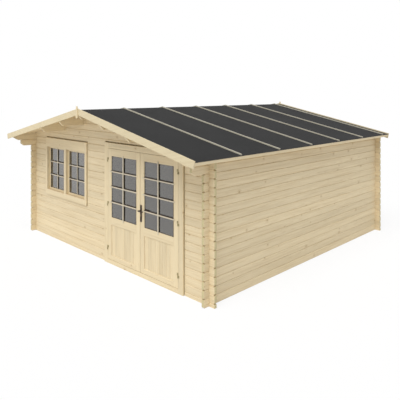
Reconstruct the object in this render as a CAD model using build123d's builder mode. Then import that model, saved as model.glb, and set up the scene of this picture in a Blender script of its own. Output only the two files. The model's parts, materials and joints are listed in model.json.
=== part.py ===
from build123d import *

import os
from math import ceil, cos, radians, sin, sqrt, tan

os.makedirs("parts", exist_ok=True)

# The cabin stands on z = 0, with the centre of its four walls on the Z axis and its front towards -Y.

# Log walls
log_height = 121
log_thickness = 44
log_groove = 8  # leg of the V cut along the long edges of a log
wall_width = 5150  # over the outer faces of the side walls
wall_depth = 5150  # over the outer faces of the front and rear walls
corner_overhang = 100  # log ends beyond the crossing wall
end_notch = 16  # leg of the V between the bevelled ends of two logs
notch_clearance = 1  # each side of a neck in its notch
opening_rise = 170  # most that a door or window opening may rise above the foot of the plate logs
plate_height = 128  # of the bevelled plate log that tops a side wall, at its outer face

# Roof
roof_pitch = 12
front_overhang = 485  # of the roof boards, from the front wall's face
rear_gap = 2  # from the rear log ends to the rear barge boards
eave_overhang = 195
board_thickness = 18
felt_thickness = 3
felt_lap = 8  # of the felt past the eave board
eave_board_thickness = 18
eave_board_depth = 45
batten_width = 22
batten_height = 18
batten_spacing = 919
first_batten = 952  # from the face of the front barge boards
barge_thickness = 20
barge_depth = 104
barge_rise = 20  # of the barge board above the felt
barge_past_eave = 24  # of the barge board's foot past the roof boards

# Purlins and the eave logs that carry the overhang
purlin_depth = 145
purlin_places = (640, 1330)  # of the side purlins from the ridge
purlin_bevel = 60
bracket_reach = 325  # of the bracket log, from the front wall's face
bracket_bevel = 60
bracket_bevel_height = 45
plate_bevel = 100
plate_bevel_height = 60

# Finial boards at the two gable peaks
finial_width = 45
finial_thickness = 18
finial_rise = 43  # above the barge boards
finial_drop = 60  # below the barge boards
finial_point = 17
finial_tip = 10

# Floor
bearer_section = 45
bearer_spacing = 600
floor_thickness = 18
floor_gap = 5  # to the walls and the door frame

# Door frame
door_centre = 1082
casing_width = 104
casing_proud = 25  # of casings in front of the wall
frame_gap = 10  # between a casing and the log ends
settling_gap = 20  # above a head casing
inner_casing_thickness = 26
stop_width = 15
lip_width = 30  # of the inner casing past the frame
door_head_height = 92
sill_height = 70

# Door leaves
leaf_width = 885
leaf_height = 1890
leaf_thickness = 44
leaf_gap = 5  # round each leaf
meeting_gap = 9
stile_width = 100
top_rail = 125
middle_rail = 130
bottom_rail = 80
panel_height = 515
panel_thickness = 18
panel_setback = 12
glass_thickness = 4
door_glass_setback = 9
moulding = 7

# Door furniture
hinge_inset = 192  # of the top and bottom hinges from the leaf's ends
knuckle_radius = 7
knuckle_length = 36
knuckle_sides = 10
knuckle_gap = 1
pin_radius = 3.5
pin_length = 22
pin_clearance = 0.3
pin_end_clearance = 4
wing_width = 26
wing_thickness = 2
handle_backset = 24
handle_plate_width = 40
handle_plate_height = 275
handle_plate_thickness = 6
handle_plate_drop = 48  # of the plate's middle below the lever
lever_height = 1060
lever_length = 114
lever_root_radius = 10
lever_tip_radius = 7
lever_thickness = 14
lever_stand_off = 45
lever_play = 0.5
neck_radius = 8
spindle_size = 8
spindle_clearance = 1
spindle_hole_sides = 12

# Window
window_centre = -1279
window_bottom = 857
light_width = 676
light_height = 865
window_side_casing = 60
window_head_casing = 184
window_bottom_casing = 101
mullion_width = 70
window_bottom_gap = 8
sash_stile = 35
sash_thickness = 40
sash_setback = 55
window_glass_setback = 64
sash_moulding = 5

# Door and window openings in the front wall
leaf_low = sill_height + leaf_gap
leaf_high = leaf_low + leaf_height
door_opening = 2 * (leaf_width + leaf_gap) + meeting_gap
door_opening_high = leaf_high + leaf_gap
door_frame_high = door_opening_high + door_head_height
door_hole_half = door_opening / 2 + casing_width + frame_gap
door_hole_high = door_frame_high + settling_gap
door_left = door_centre - door_hole_half
door_right = door_centre + door_hole_half

window_width = 2 * light_width + mullion_width + 2 * window_side_casing
window_height = window_bottom_casing + light_height + window_head_casing
light_low = window_bottom + window_bottom_casing
light_centres = [window_centre + side * (light_width + mullion_width) / 2 for side in (-1, 1)]
window_hole_width = window_width + 2 * frame_gap
window_hole_low = window_bottom - window_bottom_gap
window_hole_high = window_bottom + window_height + settling_gap

# Walls: full logs at the sides, and half a log lower at the front and rear, so that the corners interlock
half_width = wall_width / 2
half_depth = wall_depth / 2
log_end_x = half_width + corner_overhang
log_end_y = half_depth + corner_overhang
side_wall_centre = half_width - log_thickness / 2
cross_wall_centre = half_depth - log_thickness / 2
side_courses = ceil((max(door_hole_high, window_hole_high) - opening_rise) / log_height) - 1
bracket_low = side_courses * log_height
plate_low = bracket_low + log_height
gable_low = plate_low + log_height / 2

# Roof
roof_sin = sin(radians(roof_pitch))
roof_cos = cos(radians(roof_pitch))
roof_slope = tan(radians(roof_pitch))
underside_ridge = plate_low + plate_height + half_width * roof_slope
board_eave_x = half_width + eave_overhang
roof_front = -half_depth - front_overhang
roof_rear = log_end_y + rear_gap
felt_top = board_thickness + felt_thickness
barge_top = felt_top + barge_rise
gable_courses = int((underside_ridge - gable_low) / log_height) + 1
side_purlin_places = [side * place for place in purlin_places for side in (-1, 1)]

# Depths of the door frame and its leaves
casing_face = -half_depth - casing_proud
inner_face = -half_depth + log_thickness
frame_back = inner_face + inner_casing_thickness
leaf_back = casing_face + leaf_thickness
stop_face = leaf_back + leaf_gap

# Places on the leaves
panel_low = leaf_low + bottom_rail
glass_low = panel_low + panel_height + middle_rail
glass_height = leaf_high - top_rail - glass_low
clear_leaf_width = leaf_width - 2 * stile_width
handle_x = door_centre + meeting_gap / 2 + handle_backset
hinge_y = casing_face - knuckle_radius
hinge_heights = (leaf_low + hinge_inset, (leaf_low + leaf_high) / 2, leaf_high - hinge_inset)
spindle_hole_radius = spindle_size / sqrt(2) + spindle_clearance

sides = ((-1, "left"), (1, "right"))
on_floor = (Align.CENTER, Align.CENTER, Align.MIN)
from_front = (Align.CENTER, Align.MIN, Align.MIN)


def save(part, name):
    part.label = name
    export_step(part, f"parts/{name}.step")


def elevation(y):
    # Upright plane at depth y, drawn as seen from the front and extruded towards the front
    return Plane.XZ.offset(-y)


def underside(x):
    # Height of the roof boards' underside
    return underside_ridge - abs(x) * roof_slope


def log_stack(low, high, joints):
    # Section through stacked logs, with a V along both faces at every joint
    with BuildSketch() as section:
        with Locations((0, (low + high) / 2)):
            Rectangle(log_thickness, high - low)
        with Locations([(side * log_thickness / 2, z) for side in (-1, 1) for z in joints]):
            Rectangle(log_groove * sqrt(2), log_groove * sqrt(2), rotation=45, mode=Mode.SUBTRACT)
    return section.sketch


def end_notches(x, joints):
    # The V's between the ends of a side wall's logs, front and rear
    with BuildPart() as notches:
        with BuildSketch(Plane.YZ.offset(x - log_thickness)):
            with Locations([(side * log_end_y, z) for side in (-1, 1) for z in joints]):
                Rectangle(end_notch * sqrt(2), end_notch * sqrt(2), rotation=45)
        extrude(amount=2 * log_thickness)
    return notches.part


def cross_end_notches(y, joints):
    # The same V's at both ends of the front or the rear wall
    with BuildPart() as notches:
        with BuildSketch(elevation(y + log_thickness)):
            with Locations([(side * log_end_x, z) for side in (-1, 1) for z in joints]):
                Rectangle(end_notch * sqrt(2), end_notch * sqrt(2), rotation=45)
        extrude(amount=2 * log_thickness)
    return notches.part


# Everything above the underside of the roof boards, taken off gables, plates and purlins
with BuildPart() as roof_space:
    with BuildSketch(elevation(wall_depth)):
        with BuildLine():
            Polyline(
                (0, underside_ridge),
                (wall_width, underside(wall_width)),
                (wall_width, 2 * underside_ridge),
                (-wall_width, 2 * underside_ridge),
                (-wall_width, underside(wall_width)),
                close=True,
            )
        make_face()
    extrude(amount=2 * wall_depth)


def side_notches(top):
    # Where the necks of the front and rear logs cross a side wall
    count = int(top / log_height) + 2
    return [(y, k * log_height) for y in (-cross_wall_centre, cross_wall_centre) for k in range(count)]


def cross_notches(top):
    # Where the necks of the side logs cross the front and rear walls
    count = int(top / log_height) + 2
    return [
        (x, (k + 0.5) * log_height) for x in (-side_wall_centre, side_wall_centre) for k in range(count)
    ]


def cut_side_notches(x, top):
    # Slots through a side wall, a quarter of a log up and down from each of its joints
    with BuildPart() as slots:
        with Locations([(x, y, z) for y, z in side_notches(top)]):
            Box(2 * log_thickness, log_thickness + 2 * notch_clearance, log_height / 2)
    return slots.part


def cut_cross_notches(y, places):
    # The same slots through the front or the rear wall
    with BuildPart() as slots:
        with Locations([(x, y, z) for x, z in places]):
            Box(log_thickness + 2 * notch_clearance, 2 * log_thickness, log_height / 2)
    return slots.part


def side_wall(side):
    joints = [k * log_height for k in range(side_courses + 1)]
    with BuildPart() as wall:
        with BuildSketch(elevation(log_end_y)):
            with Locations((side * side_wall_centre, 0)):
                add(log_stack(0, bracket_low, joints))
        extrude(amount=2 * log_end_y)
        add(end_notches(side * side_wall_centre, joints), mode=Mode.SUBTRACT)
        add(cut_side_notches(side * side_wall_centre, bracket_low), mode=Mode.SUBTRACT)
    return wall.part


def eave_logs(side):
    # The bracket log and the bevelled plate log run forward to carry the roof's overhang
    joints = [bracket_low, plate_low]
    with BuildPart() as logs:
        with BuildSketch(elevation(log_end_y)):
            with Locations((side * side_wall_centre, 0)):
                add(log_stack(bracket_low, underside(half_width - log_thickness), joints))
        extrude(amount=log_end_y - roof_front)
        with BuildSketch(Plane.YZ.offset(side * side_wall_centre - log_thickness)):
            bracket_end = -half_depth - bracket_reach
            with BuildLine():
                Polyline(
                    (roof_front, bracket_low),
                    (bracket_end + bracket_bevel, bracket_low),
                    (bracket_end, bracket_low + bracket_bevel_height),
                    (bracket_end, plate_low),
                    (roof_front + plate_bevel, plate_low),
                    (roof_front, plate_low + plate_bevel_height),
                    close=True,
                )
            make_face()
            with Locations([(log_end_y, z) for z in joints]):
                Rectangle(end_notch * sqrt(2), end_notch * sqrt(2), rotation=45)
        extrude(amount=2 * log_thickness, mode=Mode.SUBTRACT)
        add(cut_side_notches(side * side_wall_centre, plate_low + log_height), mode=Mode.SUBTRACT)
        add(roof_space.part, mode=Mode.SUBTRACT)
    return logs.part


def cross_wall(face, x_low, x_high):
    # A stretch of the front or rear wall, which starts on a half log, up to the gable
    joints = [(k + 0.5) * log_height for k in range(side_courses + 2)]
    with BuildPart() as wall:
        with BuildSketch(Plane.YZ.offset(x_low)):
            with Locations((face * cross_wall_centre, 0)):
                add(log_stack(0, gable_low, joints))
        extrude(amount=x_high - x_low)
        add(cross_end_notches(face * cross_wall_centre, joints), mode=Mode.SUBTRACT)
        add(cut_cross_notches(face * cross_wall_centre, cross_notches(gable_low)), mode=Mode.SUBTRACT)
    return wall.part


def gable(face):
    # The logs above the side walls, cut to the slopes and slotted for the purlins
    high = gable_low + gable_courses * log_height
    with BuildPart() as wall:
        with BuildSketch(Plane.YZ.offset(-log_end_x)):
            with Locations((face * cross_wall_centre, 0)):
                joints = [gable_low + k * log_height for k in range(gable_courses)]
                add(log_stack(gable_low, high, joints))
        extrude(amount=2 * log_end_x)
        add(cross_end_notches(face * cross_wall_centre, [gable_low]), mode=Mode.SUBTRACT)
        corners = [(side * side_wall_centre, gable_low) for side in (-1, 1)]
        add(cut_cross_notches(face * cross_wall_centre, corners), mode=Mode.SUBTRACT)
        for x in [0] + side_purlin_places:
            with Locations((x, face * cross_wall_centre, underside(x) - purlin_depth)):
                Box(
                    log_thickness + 2 * notch_clearance,
                    2 * log_thickness,
                    2 * purlin_depth,
                    align=on_floor,
                    mode=Mode.SUBTRACT,
                )
        add(roof_space.part, mode=Mode.SUBTRACT)
    return wall.part


# Holes through the front wall for the door and the window
with BuildPart() as door_hole:
    with Locations((door_centre, -cross_wall_centre, 0)):
        Box(2 * door_hole_half, 2 * log_thickness, door_hole_high, align=on_floor)

with BuildPart() as window_hole:
    with Locations((window_centre, -cross_wall_centre, window_hole_low)):
        Box(window_hole_width, 2 * log_thickness, window_hole_high - window_hole_low, align=on_floor)

for side, word in sides:
    save(side_wall(side), f"{word}_wall")
    save(eave_logs(side), f"{word}_eave_logs")

with BuildPart() as front_wall_left:
    add(cross_wall(-1, -log_end_x, door_left))
    add(window_hole.part, mode=Mode.SUBTRACT)
save(front_wall_left.part, "front_wall_left")

save(cross_wall(-1, door_right, log_end_x), "front_wall_right")

with BuildPart() as front_gable:
    add(gable(-1))
    add(cross_wall(-1, door_left, door_right))  # whatever is left of it over the door
    add(door_hole.part, mode=Mode.SUBTRACT)
    add(window_hole.part, mode=Mode.SUBTRACT)
save(front_gable.part, "front_gable")

save(cross_wall(1, -log_end_x, log_end_x), "rear_wall")
save(gable(1), "rear_gable")


def purlin(x):
    # A roof beam on edge, its top planed to the slope and its front end cut back below
    with BuildPart() as beam:
        with Locations((x, roof_front, underside(x) - purlin_depth)):
            Box(log_thickness, roof_rear - roof_front, 2 * purlin_depth, align=from_front)
        add(roof_space.part, mode=Mode.SUBTRACT)
        front_edge = beam.edges().filter_by(Axis.X).group_by(Axis.Y)[0].sort_by(Axis.Z)[0]
        chamfer(front_edge, purlin_bevel)
    return beam.part


save(purlin(0), "ridge_purlin")

with BuildPart() as side_purlins:
    for x in side_purlin_places:
        add(purlin(x))
save(side_purlins.part, "side_purlins")


def slope_layer(side, eave_x, low, high):
    # Section of a layer on one roof slope, between two heights square to the boards' underside
    ridge = [(0, underside_ridge + height / roof_cos) for height in (low, high)]
    eave = [
        (side * (eave_x + height * roof_sin), underside(eave_x) + height * roof_cos)
        for height in (high, low)
    ]
    with BuildSketch() as section:
        with BuildLine():
            Polyline(*ridge, *eave, close=True)
        make_face()
    return section.sketch


def run_back(section, front, rear):
    with BuildPart() as piece:
        with BuildSketch(elevation(rear)):
            add(section)
        extrude(amount=rear - front)
    return piece.part


for side, word in sides:
    boards = slope_layer(side, board_eave_x, 0, board_thickness)
    save(run_back(boards, roof_front, roof_rear), f"roof_boards_{word}")

    felt_x = board_eave_x + (eave_board_thickness + felt_lap) * roof_cos
    felt = slope_layer(side, felt_x, board_thickness, felt_top)
    save(run_back(felt, roof_front, roof_rear), f"roof_felt_{word}")

    batten = slope_layer(side, board_eave_x, felt_top, felt_top + batten_height)
    batten_count = int((roof_rear - roof_front) / batten_spacing)
    with BuildPart() as battens:
        for k in range(batten_count):
            middle = roof_front - barge_thickness + first_batten + k * batten_spacing
            add(run_back(batten, middle - batten_width / 2, middle + batten_width / 2))
    save(battens.part, f"roof_battens_{word}")

    barge = slope_layer(side, board_eave_x + barge_past_eave, barge_top - barge_depth, barge_top)
    save(run_back(barge, roof_front - barge_thickness, roof_front), f"front_barge_{word}")
    save(run_back(barge, roof_rear, roof_rear + barge_thickness), f"rear_barge_{word}")

# Eave boards nailed to the ends of the roof boards
with BuildPart() as eave_boards:
    for side, word in sides:
        board_end = Plane(
            origin=(side * board_eave_x, roof_rear, underside(board_eave_x)),
            x_dir=(side * roof_cos, 0, -roof_sin),
            z_dir=(0, -side, 0),
        )
        with BuildSketch(board_end):
            with Locations((0, board_thickness)):
                Rectangle(eave_board_thickness, eave_board_depth, align=(Align.MIN, Align.MAX))
        extrude(amount=side * (roof_rear - roof_front))
save(eave_boards.part, "eave_boards")

# Finial boards cover the joint of the barge boards at both peaks
peak = underside_ridge + barge_top / roof_cos
finial_low = peak - barge_depth / roof_cos - finial_drop
with BuildPart() as finials:
    for rear in (roof_front - barge_thickness, roof_rear + barge_thickness + finial_thickness):
        with BuildSketch(elevation(rear)):
            with BuildLine():
                half_outline = [
                    (0, finial_low),
                    (finial_width / 2, finial_low + finial_point),
                    (finial_width / 2, peak),
                    (finial_tip / 2, peak + finial_rise),
                ]
                Polyline(*half_outline, (0, peak + finial_rise))
                mirror(about=Plane.YZ)
            make_face()
        extrude(amount=finial_thickness)
save(finials.part, "finials")

# Floor boards on bearers that lie on the ground between the walls
floor_width = wall_width - 2 * log_thickness - 2 * floor_gap
floor_front = frame_back + floor_gap
floor_depth = half_depth - log_thickness - floor_gap - floor_front
bearer_pairs = int((floor_width - bearer_section) / 2 / bearer_spacing)
with BuildPart() as floor_bearers:
    with Locations((0, floor_front, 0)):
        with GridLocations(bearer_spacing, 0, 2 * bearer_pairs + 1, 1):
            Box(bearer_section, floor_depth, bearer_section, align=from_front)
save(floor_bearers.part, "floor_bearers")

with BuildPart() as floor_boards:
    with Locations((0, floor_front, bearer_section)):
        Box(floor_width, floor_depth, floor_thickness, align=from_front)
save(floor_boards.part, "floor_boards")


def door_jamb(side):
    # Post with its casing in front, a stop behind the leaf and a lip over the log ends inside
    opening = door_opening / 2
    outer = opening + casing_width
    with BuildPart() as jamb:
        with BuildSketch(Plane((door_centre, 0, 0))):
            with BuildLine():
                Polyline(
                    (side * outer, casing_face),
                    (side * opening, casing_face),
                    (side * opening, stop_face),
                    (side * (opening - stop_width), stop_face),
                    (side * (opening - stop_width), frame_back),
                    (side * (outer + lip_width), frame_back),
                    (side * (outer + lip_width), inner_face),
                    (side * outer, inner_face),
                    close=True,
                )
            make_face()
        extrude(amount=door_frame_high)
    return jamb.part


jambs = {word: door_jamb(side) for side, word in sides}
for word, jamb in jambs.items():
    save(jamb, f"door_jamb_{word}")


def door_rail(profile):
    # A head or sill member from its section, cut off where the jambs stand
    jamb_width = casing_width + lip_width
    reach = door_opening / 2 + jamb_width
    with BuildPart() as rail:
        with BuildSketch(Plane.YZ.offset(door_centre - reach)):
            with BuildLine():
                Polyline(*profile, close=True)
            make_face()
        extrude(amount=2 * reach)
        for side in (-1, 1):
            with Locations((door_centre + side * door_opening / 2, casing_face, 0)):
                Box(
                    jamb_width,
                    frame_back - casing_face,
                    door_frame_high,
                    align=(Align.MIN if side > 0 else Align.MAX, Align.MIN, Align.MIN),
                    mode=Mode.SUBTRACT,
                )
        for jamb in jambs.values():
            add(jamb, mode=Mode.SUBTRACT)
    return rail.part


head_lip_high = door_frame_high + settling_gap + lip_width
door_head = door_rail(
    [
        (casing_face, door_opening_high),
        (stop_face, door_opening_high),
        (stop_face, door_opening_high - stop_width),
        (frame_back, door_opening_high - stop_width),
        (frame_back, head_lip_high),
        (inner_face, head_lip_high),
        (inner_face, door_frame_high),
        (casing_face, door_frame_high),
    ]
)
save(door_head, "door_head")

door_sill = door_rail(
    [
        (casing_face, 0),
        (frame_back, 0),
        (frame_back, sill_height + stop_width),
        (stop_face, sill_height + stop_width),
        (stop_face, sill_height),
        (casing_face, sill_height),
    ]
)
save(door_sill, "door_sill")


def leaf_frame(side, middle):
    # Stiles and rails round the glass and the lower panel, with a moulded edge on the outer face
    with BuildPart() as frame:
        with BuildSketch(elevation(leaf_back)):
            with Locations((middle, leaf_low + leaf_height / 2)):
                Rectangle(leaf_width, leaf_height)
            with Locations((middle, panel_low + panel_height / 2)):
                Rectangle(clear_leaf_width, panel_height, mode=Mode.SUBTRACT)
            with Locations((middle, glass_low + glass_height / 2)):
                Rectangle(clear_leaf_width, glass_height, mode=Mode.SUBTRACT)
        extrude(amount=leaf_thickness)
        openings = frame.faces().sort_by(Axis.Y)[0].inner_wires()
        chamfer(openings.edges(), moulding)
        if side > 0:
            with BuildSketch(elevation(leaf_back)):
                with Locations((handle_x, lever_height)):
                    RegularPolygon(spindle_hole_radius, spindle_hole_sides)
            extrude(amount=leaf_thickness, mode=Mode.SUBTRACT)
    return frame.part


def infill(x, low, width, height, setback, thickness):
    # A sheet of glass or a panel, set back from the casing's face
    with BuildPart() as sheet:
        with BuildSketch(elevation(casing_face + setback + thickness)):
            with Locations((x, low + height / 2)):
                Rectangle(width, height)
        extrude(amount=thickness)
    return sheet.part


for side, word in sides:
    middle = door_centre + side * (meeting_gap + leaf_width) / 2
    save(leaf_frame(side, middle), f"{word}_leaf_frame")
    panel = infill(middle, panel_low, clear_leaf_width, panel_height, panel_setback, panel_thickness)
    save(panel, f"{word}_leaf_panel")
    glass = infill(middle, glass_low, clear_leaf_width, glass_height, door_glass_setback, glass_thickness)
    save(glass, f"{word}_leaf_glass")


def hinge_half(side, z, upper):
    # A knuckle with its wing, above or below the joint of the hinge, and the pin in the lower one
    axis_x = door_centre + side * (door_opening - leaf_gap) / 2
    turn = -side if upper else side
    low = z + knuckle_gap / 2 if upper else z - knuckle_gap / 2 - knuckle_length
    with BuildPart() as half:
        with BuildSketch(Plane.XY.offset(low)):
            with Locations((axis_x, hinge_y)):
                RegularPolygon(knuckle_radius, knuckle_sides)
            with Locations((axis_x, casing_face)):
                Rectangle(
                    wing_width,
                    wing_thickness,
                    align=(Align.MIN if turn > 0 else Align.MAX, Align.MAX),
                )
        extrude(amount=knuckle_length)
        if upper:
            bore_depth = pin_length + pin_end_clearance
            with Locations((axis_x, hinge_y, low)):
                Cylinder(pin_radius + pin_clearance, bore_depth, align=on_floor, mode=Mode.SUBTRACT)
        else:
            with Locations((axis_x, hinge_y, low + knuckle_length)):
                Cylinder(pin_radius, pin_length, align=on_floor)
    return half.part


with BuildPart() as frame_hinges:
    for side, word in sides:
        for z in hinge_heights:
            add(hinge_half(side, z, upper=False))
save(frame_hinges.part, "frame_hinges")

for side, word in sides:
    with BuildPart() as leaf_hinges:
        for z in hinge_heights:
            add(hinge_half(side, z, upper=True))
    save(leaf_hinges.part, f"{word}_leaf_hinges")

# Long handle plates on both faces of the right leaf's meeting stile
with BuildPart() as handle_plates:
    for face in (casing_face, leaf_back + handle_plate_thickness):
        with BuildSketch(elevation(face)):
            with Locations((handle_x, lever_height - handle_plate_drop)):
                SlotOverall(handle_plate_height, handle_plate_width, rotation=90)
            with Locations((handle_x, lever_height)):
                RegularPolygon(spindle_hole_radius, spindle_hole_sides, mode=Mode.SUBTRACT)
        extrude(amount=handle_plate_thickness)
save(handle_plates.part, "door_handle_plates")

# Both levers on the square spindle that joins them through the leaf
plate_faces = (casing_face - handle_plate_thickness, leaf_back + handle_plate_thickness)
with BuildPart() as door_lever:
    for outward, plate_face in zip((-1, 1), plate_faces):
        neck_start = plate_face + outward * lever_play
        near = plate_face + outward * lever_stand_off
        with BuildSketch(elevation(max(neck_start, near))):
            with Locations((handle_x, lever_height)):
                Circle(neck_radius)
        extrude(amount=abs(near - neck_start))
        with BuildSketch(elevation(near + lever_thickness if outward > 0 else near)):
            with Locations((handle_x, lever_height)):
                Circle(lever_root_radius)
            with Locations((handle_x + lever_length - lever_tip_radius, lever_height)):
                Circle(lever_tip_radius)
            make_hull()
        extrude(amount=lever_thickness)
    with BuildSketch(elevation(plate_faces[1] + lever_stand_off)):
        with Locations((handle_x, lever_height)):
            Rectangle(spindle_size, spindle_size)
    extrude(amount=plate_faces[1] - plate_faces[0] + 2 * lever_stand_off)
save(door_lever.part, "door_lever")

# Window frame, deeper than the wall, with a mullion between two lights
with BuildPart() as window_frame:
    with BuildSketch(elevation(inner_face)):
        with Locations((window_centre, window_bottom + window_height / 2)):
            Rectangle(window_width, window_height)
    extrude(amount=inner_face - casing_face)
    with BuildSketch(elevation(frame_back)):
        with Locations((window_centre, window_bottom + (window_height + settling_gap) / 2)):
            Rectangle(window_width + 2 * lip_width, window_height + settling_gap + 2 * lip_width)
    extrude(amount=inner_casing_thickness)
    with BuildSketch(elevation(frame_back)):
        with Locations([(x, light_low + light_height / 2) for x in light_centres]):
            Rectangle(light_width, light_height)
    extrude(amount=frame_back - casing_face, mode=Mode.SUBTRACT)
save(window_frame.part, "window_frame")

clear_light_width = light_width - 2 * sash_stile
clear_light_height = light_height - 2 * sash_stile
with BuildPart() as window_sashes:
    with BuildSketch(elevation(casing_face + sash_setback + sash_thickness)):
        for x in light_centres:
            with Locations((x, light_low + light_height / 2)):
                Rectangle(light_width, light_height)
                Rectangle(clear_light_width, clear_light_height, mode=Mode.SUBTRACT)
    extrude(amount=sash_thickness)
    for face in window_sashes.faces().filter_by(Axis.Y).group_by(Axis.Y)[0]:
        chamfer(face.inner_wires().edges(), sash_moulding)
save(window_sashes.part, "window_sashes")

with BuildPart() as window_glass:
    for x in light_centres:
        pane_low = light_low + sash_stile
        add(
            infill(
                x, pane_low, clear_light_width, clear_light_height, window_glass_setback, glass_thickness
            )
        )
save(window_glass.part, "window_glass")
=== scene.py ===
import json
import math

import bpy
import bmesh
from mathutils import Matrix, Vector


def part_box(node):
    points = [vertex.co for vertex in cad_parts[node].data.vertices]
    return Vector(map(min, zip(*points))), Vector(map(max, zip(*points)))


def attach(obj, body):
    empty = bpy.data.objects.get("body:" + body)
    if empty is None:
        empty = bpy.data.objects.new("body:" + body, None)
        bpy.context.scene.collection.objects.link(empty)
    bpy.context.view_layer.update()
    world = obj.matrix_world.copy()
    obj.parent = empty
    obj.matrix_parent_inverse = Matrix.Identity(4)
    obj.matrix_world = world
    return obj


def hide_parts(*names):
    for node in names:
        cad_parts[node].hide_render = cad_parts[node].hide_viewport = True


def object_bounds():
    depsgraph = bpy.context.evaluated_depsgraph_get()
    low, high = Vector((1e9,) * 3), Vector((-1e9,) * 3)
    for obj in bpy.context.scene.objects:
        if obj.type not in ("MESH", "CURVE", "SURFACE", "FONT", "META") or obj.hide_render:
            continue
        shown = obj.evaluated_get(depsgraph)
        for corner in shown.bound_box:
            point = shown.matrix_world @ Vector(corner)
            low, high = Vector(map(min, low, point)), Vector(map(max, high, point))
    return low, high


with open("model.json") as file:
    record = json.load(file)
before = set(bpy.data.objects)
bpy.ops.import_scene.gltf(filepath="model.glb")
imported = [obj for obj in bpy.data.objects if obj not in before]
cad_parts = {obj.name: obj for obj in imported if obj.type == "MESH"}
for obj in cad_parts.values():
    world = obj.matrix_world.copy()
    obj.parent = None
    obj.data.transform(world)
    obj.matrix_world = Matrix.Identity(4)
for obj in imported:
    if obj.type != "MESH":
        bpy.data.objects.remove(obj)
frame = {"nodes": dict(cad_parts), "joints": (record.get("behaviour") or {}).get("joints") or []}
nodes = frame["nodes"]
cadLow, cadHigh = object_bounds()
scene = bpy.context.scene
print("frame loaded:", len(nodes), "nodes")


def colour(red, green, blue):
    # A colour given in 0-255 screen values, made linear by the screen's own curve
    linear = []
    for value in (red, green, blue):
        share = value / 255
        linear.append(share / 12.92 if share <= 0.04045 else ((share + 0.055) / 1.055) ** 2.4)
    return (*linear, 1)


# Camera, at the corner view of the photo
cameraSetup = {
    "place": (7.0342, -7.2165, 2.9228),
    "heading": 44.96,
    "lens": 42.44,
    "sensor": 36,
    "rise": -0.2687,
}

camera = bpy.data.objects.new("viewCamera", bpy.data.cameras.new("viewCamera"))
scene.collection.objects.link(camera)
camera.location = cameraSetup["place"]
camera.rotation_euler = (math.radians(90), 0, math.radians(cameraSetup["heading"]))
camera.data.lens = cameraSetup["lens"]
camera.data.sensor_width = cameraSetup["sensor"]
camera.data.shift_y = cameraSetup["rise"]
scene.camera = camera

# Light: an even sky, and a large soft key from above the front and a little from the right
lightSetup = {
    "sky": 0.46,
    "keyPower": 2.4,
    "keySpread": 45,
    "keyTilt": (32, 0, 20),
    "floorShade": 0.15,
    "floorSize": 120,
    "floorDrop": 0.001,
    "floorColour": (0.9, 0.9, 0.9, 1),
    "backdrop": (1, 1, 1, 1),
}
scene.view_settings.view_transform = "Standard"


def seenRays(tree):
    # 1 for rays that should meet the plain white of the backdrop
    path = tree.nodes.new("ShaderNodeLightPath")
    total = path.outputs["Is Camera Ray"]
    for ray in ("Is Glossy Ray", "Is Transmission Ray"):
        either = tree.nodes.new("ShaderNodeMath")
        either.operation = "MAXIMUM"
        tree.links.new(total, either.inputs[0])
        tree.links.new(path.outputs[ray], either.inputs[1])
        total = either.outputs[0]
    return total


def lightRoom(setup):
    world = bpy.data.worlds.new("paleRoom")
    scene.world = world
    world.use_nodes = True
    tree = world.node_tree
    background = tree.nodes["Background"]
    background.inputs["Color"].default_value = setup["backdrop"]
    level = tree.nodes.new("ShaderNodeMapRange")
    level.inputs["To Min"].default_value = setup["sky"]
    level.inputs["To Max"].default_value = 1
    tree.links.new(seenRays(tree), level.inputs["Value"])
    tree.links.new(level.outputs["Result"], background.inputs["Strength"])

    key = bpy.data.objects.new("softKey", bpy.data.lights.new("softKey", "SUN"))
    scene.collection.objects.link(key)
    key.data.energy = setup["keyPower"]
    key.data.angle = math.radians(setup["keySpread"])
    key.rotation_euler = [math.radians(turn) for turn in setup["keyTilt"]]


def layFloor(setup):
    # White where it is seen, with a soft shade of the object kept in it
    half = setup["floorSize"] / 2
    corners = [(-half, -half, 0), (half, -half, 0), (half, half, 0), (-half, half, 0)]
    mesh = bpy.data.meshes.new("paleFloor")
    mesh.from_pydata(corners, [], [(0, 1, 2, 3)])
    floor = bpy.data.objects.new("paleFloor", mesh)
    scene.collection.objects.link(floor)
    floor.location.z = cadLow.z - setup["floorDrop"]
    material = bpy.data.materials.new("paleFloor")
    material.use_nodes = True
    tree = material.node_tree
    tree.nodes.clear()
    matte = tree.nodes.new("ShaderNodeBsdfDiffuse")
    matte.inputs["Color"].default_value = setup["floorColour"]
    glow = tree.nodes.new("ShaderNodeEmission")
    share = tree.nodes.new("ShaderNodeMath")
    share.operation = "MULTIPLY"
    share.inputs[1].default_value = 1 - setup["floorShade"]
    mix = tree.nodes.new("ShaderNodeMixShader")
    output = tree.nodes.new("ShaderNodeOutputMaterial")
    tree.links.new(seenRays(tree), share.inputs[0])
    tree.links.new(share.outputs[0], mix.inputs[0])
    tree.links.new(matte.outputs[0], mix.inputs[1])
    tree.links.new(glow.outputs[0], mix.inputs[2])
    tree.links.new(mix.outputs[0], output.inputs["Surface"])
    mesh.materials.append(material)


lightRoom(lightSetup)
layFloor(lightSetup)
print("camera, light and floor set")


# Small helpers for node trees
def feed(tree, socket, value):
    # Links a socket, or sets a number or colour
    if isinstance(value, bpy.types.NodeSocket):
        tree.links.new(value, socket)
    elif value is not None:
        socket.default_value = value


def maths(tree, operation, first, second=None, third=None, clamp=False):
    node = tree.nodes.new("ShaderNodeMath")
    node.operation = operation
    node.use_clamp = clamp
    for slot, value in enumerate((first, second, third)):
        feed(tree, node.inputs[slot], value)
    return node.outputs[0]


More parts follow.
